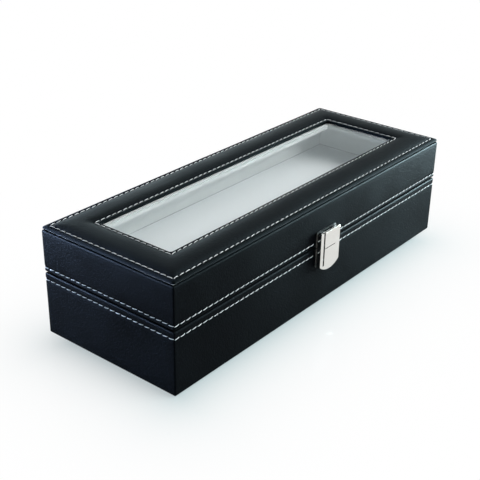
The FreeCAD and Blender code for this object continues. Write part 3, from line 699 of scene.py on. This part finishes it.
@dataclass(frozen=True)
class Skin:
    """A covering carried round the box: one closed section, kept the same all the way round.

    Points of the section are the way in from the outer face and the height. A covering over padding has a
    crown, where its corners are rounder, and a stretch that is drawn tight.
    """

    half: Point
    section: tuple[Point, ...]
    seams: tuple[Seam, ...]
    corner: float = 0.9
    least_corner: float = 0.5
    corner_steps: int = 8
    spacing: float = 1.2
    wobble: float = 0.05
    crown: tuple[float, float, float] | None = None
    drawn: Point | None = None
    painted_highlight_depth: float = 1.5
    sharp_deg: float = 12.0

    def columns(self) -> np.ndarray:
        """Stand columns round the box.

        Returns:
            For each column its share of both half sizes, and the way it faces.
        """
        rows = []
        for number, (x, y) in enumerate(CORNERS):
            next_x, next_y = CORNERS[(number + 1) % 4]
            facing = math.radians(-90 + 90 * number)
            length = 2 * (self.half[0] if y == next_y else self.half[1])
            count = math.ceil(length / self.spacing)
            for step in range(count):
                t = step / count
                rows.append((x + (next_x - x) * t, y + (next_y - y) * t, math.cos(facing), math.sin(facing)))
            for step in range(self.corner_steps):
                angle = facing + math.radians(90) * step / self.corner_steps
                rows.append((next_x, next_y, math.cos(angle), math.sin(angle)))
        return np.array(rows)

    def corner_radius(self, inward: np.ndarray) -> np.ndarray:
        """Round the corners, more over a padded crown.

        Args:
            inward: the way in of each point of the section.

        Returns:
            The radius of the corner at each point.
        """
        radius = np.clip(self.corner - inward, self.least_corner, None)
        if self.crown is not None:
            start, end, swell = self.crown
            share = np.clip((inward - start) / (end - start), 0, 1)
            radius = np.maximum(radius, self.corner) + swell * np.sin(np.pi * share) ** 2
        return radius

    def points(self) -> np.ndarray:
        """Carry the section round the box.

        Returns:
            The covering's vertices, a row for each point of the section.
        """
        inward, height = np.array(self.section).T
        around = self.columns()
        radius = self.corner_radius(inward)[:, None]
        x, y = (around[:, axis] * (self.half[axis] - inward[:, None] - radius) + radius * around[:, axis + 2]
                for axis in (0, 1))
        z = np.repeat(height[:, None], len(around), axis=1)
        grid = np.stack([x, y, z], axis=-1)
        out = self.outward()
        way = np.stack([-out[:, :1] * around[:, 2], -out[:, :1] * around[:, 3],
                        np.repeat(out[:, 1:], len(around), axis=1)], axis=-1)
        return grid + way * self.relief(grid, around)[..., None]

    def outward(self) -> np.ndarray:
        """Find the way that the section faces.

        Returns:
            For each point the share of that way that is inward, and the share that is up.
        """
        section = np.array(self.section)
        before, after = np.roll(section, 1, 0), np.roll(section, -1, 0)
        area = np.sum(section[:, 0] * after[:, 1] - after[:, 0] * section[:, 1])
        along = (before - after) * np.sign(area)
        out = np.stack([-along[:, 1], along[:, 0]], axis=1)
        return out / np.maximum(np.linalg.norm(out, axis=1, keepdims=True), TINY)

    def relief(self, grid: np.ndarray, around: np.ndarray) -> np.ndarray:
        """Raise soft waves, and dips at the stitches.

        Args:
            grid: the vertices of the plain section.
            around: the columns that they stand in.

        Returns:
            How far each vertex stands off the plain section.
        """
        inward, height = np.array(self.section).T
        waves = sum(np.sin(grid @ np.array(slope) + start) for slope, start in WAVES)
        relief = self.wobble * waves / len(WAVES)
        for seam in self.seams:
            away = np.hypot(inward - seam.inward, height - seam.height)[:, None]
            near_hole = (0.5 + 0.5 * np.cos(2 * np.pi * seam.phase(self.half, grid, around))) ** 2
            pull = seam.held + (1 - seam.held) * near_hole
            relief = relief - seam.dip * np.exp(-(away / seam.reach) ** 2) * pull
        return relief

    def build(self, name: str) -> Object:
        """Make the covering as one closed mesh that marks its folded edges.

        Args:
            name: the piece's name.

        Returns:
            The new object.
        """
        grid = self.points()
        rows, columns = grid.shape[:2]
        numbers = np.arange(rows * columns).reshape(rows, columns)
        below, ahead = np.roll(numbers, -1, 0), np.roll(numbers, -1, 1)
        faces = np.stack([numbers, ahead, np.roll(below, -1, 1), below], axis=-1).reshape(-1, 4)
        piece = make_piece(name, grid.reshape(-1, 3), faces.tolist())
        edge = piece.data.attributes.new(EDGE, "FLOAT", "POINT")
        edge.data.foreach_set("value", np.repeat(self.edge(), columns))
        return piece

    def edge(self) -> np.ndarray:
        """Find the folded edges: with padding, all that isn't drawn tight, which takes painted shade;
        without padding, the bends that face up, which take a painted highlight.

        Returns:
            How far each point of the section is a folded edge that takes the painted edge colour.
        """
        section = np.array(self.section)
        if self.drawn is not None:
            return ((section[:, 0] < self.drawn[0]) | (section[:, 0] > self.drawn[1])).astype(float)
        before, after = section - np.roll(section, 1, 0), np.roll(section, -1, 0) - section
        turn = np.arctan2(after[:, 1], after[:, 0]) - np.arctan2(before[:, 1], before[:, 0])
        turn = np.abs((turn + np.pi) % (2 * np.pi) - np.pi)
        bent = np.clip(turn / math.radians(self.sharp_deg), 0, 1)
        # Bends that face up catch light from above, so the painted highlight goes only on them, near the
        # outer face
        return bent * np.clip(self.outward()[:, 1], 0, 1) * (section[:, 0] < self.painted_highlight_depth)


@dataclass(frozen=True)
class Stitching:
    """A seam's visible stitches, each a short length of twisted thread that dives into its two holes."""

    half: Point
    seam: Seam
    upward: bool
    gap: float = 0.0
    thread: float = 0.5
    flatness: float = 0.8
    share: float = 0.73
    proud: float = 0.12
    dive: float = 1.045
    slant: float = 0.24
    ply_depth: float = 0.1
    twist: float = 5.5
    end_share: float = 0.75
    end_blunt: float = 0.06
    end_power: float = 0.4
    sides: int = 8
    rings: int = 9

    def ends(self) -> list[tuple[np.ndarray, np.ndarray, np.ndarray]]:
        """Space the stitches out along the four sides, except behind the clasp.

        Returns:
            Both holes of each stitch, and the way its surface faces.
        """
        reach = [side - self.seam.inward for side in self.half]
        holes = [np.array([x * reach[0], y * reach[1], self.seam.height]) for x, y in CORNERS]
        counts = self.seam.per_side(self.half)
        found = []
        for number, start in enumerate(holes):
            way = holes[(number + 1) % 4] - start
            facing = math.radians(-90 + 90 * number)
            normal = np.array([0, 0, 1.0] if self.upward else [math.cos(facing), math.sin(facing), 0])
            count = counts[number % 2]
            for step in range(count):
                first, last = start + way * step / count, start + way * (step + 1) / count
                if number == 0 and abs(first[0] + last[0]) / 2 < self.gap:
                    continue
                found.append((first, last, normal))
        return found

    def build(self, name: str) -> Object:
        """Make all the stitches as one mesh of separate threads.

        Args:
            name: the piece's name.

        Returns:
            The new object.
        """
        threads = [self.thread_points(*stitch) for stitch in self.ends()]
        rings = np.arange(self.rings * self.sides).reshape(self.rings, self.sides)
        after = np.roll(rings, -1, 1)
        walls = np.stack([rings[:-1], after[:-1], after[1:], rings[1:]], axis=-1).reshape(-1, 4)
        faces = []
        for number in range(len(threads)):
            faces += [(face + number * rings.size).tolist() for face in (*walls, rings[0], rings[-1])]
        return make_piece(name, np.concatenate(threads), faces)

    def thread_points(self, first: np.ndarray, last: np.ndarray, normal: np.ndarray) -> np.ndarray:
        """Lay one stitch between two needle holes.

        Args:
            first: the hole it comes out of.
            last: the hole it goes into.
            normal: the way the covering faces.

        Returns:
            The vertices of its thread, ring by ring.
        """
        length = np.linalg.norm(last - first)
        along = (last - first) / length
        across = np.cross(normal, along)
        radius = self.thread / 2
        points = []
        for ring in range(self.rings):
            t = ring / (self.rings - 1)
            rise = self.proud + radius * self.dive * (math.sin(math.pi * t) ** 0.5 - 1)
            centre = (first + last) / 2 + along * length * self.share / 2 * (2 * t - 1) + normal * rise
            centre = centre + across * self.slant * (2 * t - 1)
            body = math.sin(math.pi * min(max(t, self.end_blunt), 1 - self.end_blunt)) ** self.end_power
            for side in range(self.sides):
                angle = 2 * math.pi * side / self.sides
                ply = 1 + self.ply_depth * math.cos(2 * angle - self.twist * t * math.pi)
                thick = radius * ply * (self.end_share + (1 - self.end_share) * body)
                flat = thick * self.flatness
                points.append(centre + across * thick * math.cos(angle) + normal * flat * math.sin(angle))
        return np.array(points)


@dataclass
class CoveredShell:
    """What the base and the lid share: boards in leathercloth, folded in over a lined and stitched rim."""

    half: Point
    clasp_gap: float
    leather: float = 0.8
    board: float = 6.0
    lining: float = 0.8
    edge_round: float = 1.2
    inner_round: float = 0.5
    seam_band: float = 2.0
    rim_roll: Point = (1.2, 1.2)
    roll_steps: int = 6
    fold: float = 12.0
    hidden_step: float = 15.0

    def section(self, heights: tuple[float, float, float], outside: list[Point]) -> tuple[Point, ...]:
        """Trace the covering: over the rim from inside, along the outside, and back behind itself.

        Args:
            heights: where the lining starts, the rim, and the far edge.
            outside: heights that the outside passes, each with the longest step on the way there.

        Returns:
            The points of the section.
        """
        fold_end, rim, far = heights
        way = math.copysign(1.0, rim - far)
        inside = self.leather + self.board
        lined = inside + self.lining
        back, rim_back = far + self.leather * way, rim - self.leather * way
        path = Path((lined, fold_end))
        path.run((lined, rim - self.inner_round * way), step=4.0)
        path.turn((lined - self.inner_round, rim), count=3)
        path.run((self.rim_roll[0], rim), step=1.5)
        path.turn((0.0, rim - self.rim_roll[1] * way), self.roll_steps, level_first=True)
        for height, step in outside:
            path.run((0.0, height), step)
        path.turn((self.edge_round, far))
        path.run((self.fold, far), step=4.0)
        path.run((self.fold, back), step=1.0)
        path.run((self.leather, back), step=6.0)
        path.run((self.leather, rim_back), self.hidden_step)
        path.run((inside, rim_back), step=6.0)
        path.run((inside, fold_end), step=9.0)
        path.run((lined, fold_end), step=1.0)
        return tuple(path.points)

    def covering_section(self, seam: Seam) -> tuple[Point, ...]:
        """Section of this shell's covering, with a fine mesh at its seam."""
        raise NotImplementedError

    def cover(self, finishes: Finishes, body: str, covering: str, node: str) -> None:
        """Build and dress a body's covering, and the row of stitches at its rim.

        Args:
            finishes: the materials.
            body: the base or the lid.
            covering: the covering's name.
            node: the node that it stands for.
        """
        seam = Seam(0.0, sum(span(f"{body}_rim_stitching")) / 2)
        skin = Skin(self.half, self.covering_section(seam), (seam,)).build(covering)
        finishes.dress(place_on(skin, body, node), Slot.LEATHERCLOTH)
        row = Stitching(self.half, seam, upward=False, gap=self.clasp_gap).build(f"{body}_rim_stitches")
        finishes.dress(place_on(row, body, f"{body}_rim_stitching"), Slot.THREAD)


@dataclass
class BaseTray(CoveredShell):
    """The base: its covering, stitching, linings, dividers and boards."""

    dividers: int = 5
    divider_round: float = 1.3

    def covering_section(self, seam: Seam) -> tuple[Point, ...]:
        """Section of the covering: up inside the rim, over it, down the outside and under the box.

        Args:
            seam: the seam below the rim.

        Returns:
            The points of the section.
        """
        low, rim = span("base_leather")
        outside = [(seam.height + self.seam_band, 1.0), (seam.height - self.seam_band, 0.4),
                   (low + self.edge_round, 5.0)]
        return self.section((span("base_wall_lining")[1], rim, low), outside)

    def build(self, finishes: Finishes) -> None:
        """Build and dress the base.

        Args:
            finishes: the materials.
        """
        self.cover(finishes, "base", "base_covering", "base_leather")
        for number in range(1, self.dividers + 1):
            node = f"divider_{number}"
            divider = soft_block(f"velvet_{node}", node, self.divider_round)
            finishes.dress(place_on(divider, "base", node), Slot.LINING)
        finishes.dress_nodes(Slot.LINING, "base_wall_lining", "base_floor_lining")
        finishes.dress_nodes(Slot.FIBREBOARD, *(f"base_{side}_board" for side in (*SIDES, "bottom")))
        finishes.dress_nodes(Slot.FELT, "base_underside_felt")


@dataclass
class WindowLid(CoveredShell):
    """The lid: side covering, padded top panel, stitching, pane, card, linings and boards."""

    rim_roll: Point = (2.2, 1.7)
    roll_steps: int = 8
    fold: float = 26.0
    hidden_step: float = 12.0
    frame_width: float = 26.6
    undercut: Point = (1.8, 1.0)
    lip_round: float = 0.5
    hem_round: float = 0.9
    shoulder_gap: float = 0.9
    crown_gaps: Point = (0.5, 0.6)
    crown_height: float = 1.55
    crown_fullness: Point = (2.3, 0.9)
    crown_steps: int = 45
    crown_corner: float = 5.0
    slack_gap: float = 0.6
    panel_corner: float = 2.2
    panel_wobble: float = 0.09
    panel_dip: float = 0.25
    band_width: float = 0.8

    def covering_section(self, seam: Seam) -> tuple[Point, ...]:
        """Section of the side covering: down inside, round the rim, up the outside and over the top.

        Args:
            seam: the seam above the rim.

        Returns:
            The points of the section.
        """
        rim, top = span("lid_side_leather")
        outside = [(seam.height + self.seam_band, 0.4), (top - self.edge_round, 4.0)]
        return self.section((span("lid_wall_lining")[0], rim, top), outside)

    def panel_section(self, outer: Seam, inner: Seam) -> tuple[Point, ...]:
        """Section of the padded panel's covering: lip, outer seam, crowned roll, inner seam and hem.

        Args:
            outer: the seam round the panel's outer edge.
            inner: the seam round the window.

        Returns:
            The points of the section.
        """
        low = span("top_panel_leather")[0]
        lip, hem, width = self.lip_round, self.hem_round, self.frame_width
        under, gap = self.undercut
        path = Path((under, low))
        path.run((lip, low + gap), step=0.8)
        path.turn((0.0, low + gap + lip), count=5, level_first=True)
        path.turn((outer.inward - self.shoulder_gap, outer.height), count=8)
        path.run((outer.inward + self.crown_gaps[0], outer.height), step=0.4)
        crown_end = (inner.inward - self.crown_gaps[1], inner.height)
        path.crown(crown_end, self.crown_height, self.crown_fullness, self.crown_steps)
        path.run((width - hem, inner.height), step=0.35)
        path.turn((width, inner.height - hem), level_first=True)
        path.run((width, low), step=0.8)
        path.run((under, low), step=4.0)
        return tuple(path.points)

    def panel_seam(self, node: str) -> Seam:
        """The seam along the middle of a band of stitching on the top panel."""
        inward = self.half[0] - half_size(node)[0] + self.band_width / 2
        return Seam(inward, span(node)[0], dip=self.panel_dip)

    def panel(self, finishes: Finishes) -> None:
        """Build and dress the padded top panel and its two rows of stitches.

        Args:
            finishes: the materials.
        """
        outer, inner = (self.panel_seam(f"top_{row}_stitching") for row in ("outer", "inner"))
        crown = (outer.inward, inner.inward, self.crown_corner)
        drawn = (outer.inward - self.slack_gap, self.frame_width - self.hem_round)
        skin = Skin(self.half, self.panel_section(outer, inner), (outer, inner), corner=self.panel_corner,
                    wobble=self.panel_wobble, crown=crown, drawn=drawn)
        padding = skin.build("padded_top_panel")
        finishes.dress(place_on(padding, "lid", "top_panel_leather"), Slot.LEATHERCLOTH, finishes.stretched)
        for row, seam in (("outer", outer), ("inner", inner)):
            stitches = Stitching(self.half, seam, upward=True).build(f"top_{row}_stitches")
            finishes.dress(place_on(stitches, "lid", f"top_{row}_stitching"), Slot.THREAD)

    def build(self, finishes: Finishes) -> None:
        """Build and dress the lid.

        Args:
            finishes: the materials.
        """
        self.cover(finishes, "lid", "lid_side_covering", "lid_side_leather")
        self.panel(finishes)
        finishes.dress_nodes(Slot.PANE, "window_pane")
        finishes.dress_nodes(Slot.CARD, "insert_card")
        finishes.dress_nodes(Slot.LINING, "lid_wall_lining", "lid_top_lining")
        finishes.dress_nodes(Slot.FIBREBOARD, *(f"lid_{side}_board" for side in (*SIDES, "top")))
        finishes.dress_nodes(Slot.GREYBOARD, "top_panel_board")
        finishes.dress_nodes(Slot.FOAM, *(f"top_panel_padding_{side}" for side in SIDES))


@dataclass
class Metalwork:
    """The clasp and the hinges, whose pressed shapes are those of the frame."""

    sharp: tuple[str, ...] = ("clasp_base_plate", "clasp_lid_plate")
    edge_round: float = 0.25

    def build(self, finishes: Finishes) -> None:
        """Dress the metal pieces, with a little roundness on the edges of the plates.

        Args:
            finishes: the materials.
        """
        for node, piece in frame["nodes"].items():
            if node.startswith(("clasp", "hinge")):
                finishes.dress(piece, Slot.NICKEL if node == "clasp_tab" else Slot.STEEL)
            if node in self.sharp:
                worn = piece.modifiers.new("worn_edges", "BEVEL")
                worn.width = self.edge_round * MM
                worn.segments = 2


@dataclass
class WatchCushions:
    """The watch cushions: velvet bags over soft filling, blown up by a short cloth simulation."""

    count: int = 6
    slack: float = 1.6
    edge_round: float = 11.0
    edge_segments: int = 5
    voxel: float = 3.0
    pressure: float = 4.0
    frames: int = 20
    most_move: float = 2.6
    seam_height: float = 0.46
    seam_dip: float = 0.9
    seam_reach: float = 1.3
    clearance: float = 0.05

    def build(self, finishes: Finishes) -> None:
        """Build one cushion, and a copy of it for each compartment.

        Args:
            finishes: the materials.
        """
        first = self.bag("cushion_1")
        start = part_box("cushion_1")[0]
        for number in range(1, self.count + 1):
            node = f"cushion_{number}"
            piece = add_object(f"velvet_{node}", first.data.copy())
            piece.data.transform(Matrix.Translation(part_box(node)[0] - start))
            finishes.dress(place_on(piece, node, node), Slot.CUSHION)
        bpy.data.objects.remove(first)

    def bag(self, node: str) -> Object:
        """A filled velvet bag in the space of a node, with a seam round its sides.

        Args:
            node: the cushion's node.

        Returns:
            The bag, not yet on a body.
        """
        low, high = (np.array(corner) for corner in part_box(node))
        bag = soft_block("velvet_bag", node, self.edge_round, self.edge_segments, self.slack)
        work_in(bag, "REMESH", mode="VOXEL", voxel_size=self.voxel * MM)
        blow_up(bag, self.pressure, self.frames, self.most_move)
        work_in(bag, "SUBSURF", levels=1)
        places = np.array([vertex.co for vertex in bag.data.vertices])
        ways = np.array([vertex.normal for vertex in bag.data.vertices])
        seam_z = low[2] + (high[2] - low[2]) * self.seam_height
        dip = self.seam_dip * MM * np.exp(-((places[:, 2] - seam_z) / (self.seam_reach * MM)) ** 2)
        middle, room = (low + high) / 2, (high - low) / 2 - self.clearance * MM
        places = middle + np.clip(places - ways * dip[:, None] - middle, -room, room)
        bag.data.vertices.foreach_set("co", places.ravel())
        bag.data.update()
        return bag


def work_in(piece: Object, kind: str, **settings) -> None:
    """Give a piece a modifier, and work it into the mesh.

    Args:
        piece: the piece.
        kind: the modifier's type name.
        settings: properties of the modifier.
    """
    modifier = piece.modifiers.new(kind.lower(), kind)
    for name, setting in settings.items():
        setattr(modifier, name, setting)
    apply_modifiers(piece)


def apply_modifiers(piece: Object) -> None:
    """Work a piece's modifiers into its mesh.

    Args:
        piece: the piece.
    """
    graph = bpy.context.evaluated_depsgraph_get()
    mesh = bpy.data.meshes.new_from_object(piece.evaluated_get(graph), depsgraph=graph)
    piece.modifiers.clear()
    piece.data = mesh
    shade_smooth(mesh)


def blow_up(piece: Object, pressure: float, frames: int, most_mm: float) -> None:
    """Fill a bag with air by cloth simulation, and keep the shape.

    Args:
        piece: the bag.
        pressure: pressure inside it.
        frames: how long it is blown up.
        most_mm: the furthest that any point may move.
    """
    scene = bpy.context.scene
    start = np.array([vertex.co for vertex in piece.data.vertices])
    cloth = piece.modifiers.new("filling", "CLOTH")
    cloth.settings.use_pressure = True
    cloth.settings.uniform_pressure_force = pressure
    cloth.settings.effector_weights.gravity = 0.0
    cloth.point_cache.frame_start = 1
    cloth.point_cache.frame_end = frames
    for number in range(1, frames + 1):
        scene.frame_set(number)
    apply_modifiers(piece)
    end = np.array([vertex.co for vertex in piece.data.vertices])
    scene.frame_set(1)
    move = end - start
    length = np.maximum(np.linalg.norm(move, axis=1, keepdims=True), TINY)
    piece.data.vertices.foreach_set("co", (start + move * np.minimum(1, most_mm * MM / length)).ravel())
    piece.data.update()
    LOG.info("%s swelled by up to %.2f mm", piece.name, float(length.max()) / MM)


@dataclass(frozen=True)
class SoftBox:
    """A flat soft lamp that faces the box. One for gloss alone shows in shiny surfaces and lights no others.

    Its place and size are in metres.
    """

    name: str
    place: tuple[float, float, float]
    size: Point
    watts: float
    colour: str = WHITE
    gloss_alone: bool = False

    def build(self) -> None:
        """Hang the lamp up."""
        lamp = bpy.data.lights.new(self.name, "AREA")
        lamp.shape = "RECTANGLE"
        lamp.size, lamp.size_y = self.size
        lamp.energy = self.watts
        lamp.color = linear(self.colour)[:3]
        hung = add_object(self.name, lamp)
        hung.location = self.place
        hung.rotation_euler = (-hung.location).to_track_quat("-Z", "Y").to_euler()
        hung.visible_diffuse = not self.gloss_alone


LAMPS = (
    SoftBox("overhead_soft_box", (0.8, -0.3, 1.6), (1.8, 1.8), 19.0),
    SoftBox("right_soft_box", (0.7, -1.2, 1.2), (1.2, 1.0), 22.0),
    SoftBox("back_soft_box", (1.0, 2.2, 0.6), (2.2, 0.7), 10.0, COOL),
    SoftBox("low_right_soft_box", (0.5, -0.24, 0.08), (0.3, 0.14), 41.0, COOL, gloss_alone=True),
    SoftBox("low_left_soft_box", (-0.36, 0.38, 0.09), (0.3, 0.14), 48.0, BLUE, gloss_alone=True),
)


@dataclass
class Studio:
    """White floor, soft light and the camera at the photograph's viewing angle.

    Each fade of the sky has an axis, the span along it where it fades, and its strength at both ends.
    """

    camera_mm: tuple[float, float, float] = (-506.6, -388.5, 351.5)
    turn_deg: tuple[float, float, float] = (-51.223, 26.779, 0.934)
    lens_px: float = 964.2
    image_px: float = 480.0
    sensor_mm: float = 36.0
    clip_mm: float = 10.0
    floor_half: float = 6000.0
    sky_colour: str = "#f1fcff"
    sky_fades: tuple[tuple[str, Point, Point], ...] = (
        ("Z", (0.22, 0.72), (1.0, 0.12)),
        ("X", (-0.7, 0.2), (0.5, 1.0)),
        ("X", (0.62, 0.9), (1.0, 0.6)))

    def build(self) -> None:
        """Make the floor, the light and the camera."""
        self.floor()
        self.sky()
        for lamp in LAMPS:
            lamp.build()
        self.camera()
        bpy.context.scene.view_settings.view_transform = "Standard"

    def floor(self) -> None:
        """A wide floor, shaded round the box."""
        corners = np.array([(x, y, 0) for x, y in CORNERS]) * self.floor_half
        floor = make_piece("floor", corners, [[0, 1, 2, 3]])
        floor.data.materials.append(GlossFloor().make())

    def sky(self) -> None:
        """A pale room, brightest low down and to the right, behind a white backdrop that the camera sees."""
        world = bpy.data.worlds.new("studio")
        bpy.context.scene.world = world
        world.use_nodes = True
        tree = world.node_tree
        tree.nodes.clear()
        way = add_node(tree, "TexCoord").outputs["Generated"]
        along = add_node(tree, "SeparateXYZ", {0: way}).outputs
        level = 1.0
        for axis, (start, end), (first, last) in self.sky_fades:
            fade = add_node(tree, "MapRange", {
                "Value": along[axis], "From Min": start, "From Max": end, "To Min": first, "To Max": last},
                interpolation_type="SMOOTHSTEP").outputs["Result"]
            level = add_node(tree, "Math", {0: fade, 1: level}, operation="MULTIPLY").outputs[0]
        sky = add_node(tree, "Background", {"Color": linear(self.sky_colour), "Strength": level})
        backdrop = add_node(tree, "Background", {"Color": linear(WHITE), "Strength": 1.0})
        seen = add_node(tree, "LightPath").outputs["Is Camera Ray"]
        mixed = add_node(tree, "MixShader", {0: seen, 1: sky.outputs[0], 2: backdrop.outputs[0]})
        add_node(tree, "OutputWorld", {"Surface": mixed.outputs[0]})

    def camera(self) -> None:
        """The camera, turned by its azimuth, elevation and roll."""
        data = bpy.data.cameras.new("camera")
        data.sensor_width = self.sensor_mm
        data.lens = self.lens_px / self.image_px * self.sensor_mm
        data.clip_start = self.clip_mm * MM
        azimuth, elevation, roll = (math.radians(angle) for angle in self.turn_deg)
        ahead = Vector((-math.sin(azimuth) * math.cos(elevation), math.cos(azimuth) * math.cos(elevation),
                        -math.sin(elevation)))
        turn = ahead.to_track_quat("-Z", "Y").to_matrix().to_4x4() @ Matrix.Rotation(roll, 4, "Z")
        camera = add_object("camera", data)
        camera.matrix_world = Matrix.Translation(Vector(self.camera_mm) * MM) @ turn
        bpy.context.scene.camera = camera


def main() -> None:
    """Build every part of the watch box and the studio, and report each piece's material."""
    logging.basicConfig(level=logging.INFO, format="%(message)s")
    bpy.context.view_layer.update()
    half = half_size("base_leather")
    clasp_gap = half_size("clasp_base_plate")[0] + CLASP_MARGIN
    finishes = Finishes()
    for part in (BaseTray(half, clasp_gap), WindowLid(half, clasp_gap), Metalwork(), WatchCushions()):
        part.build(finishes)
    Studio().build()
    for piece in finishes.dressed:
        LOG.info("%s is made of %s", piece.name, piece.data.materials[0].name)


if __name__ == "__main__":
    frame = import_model()
    main()
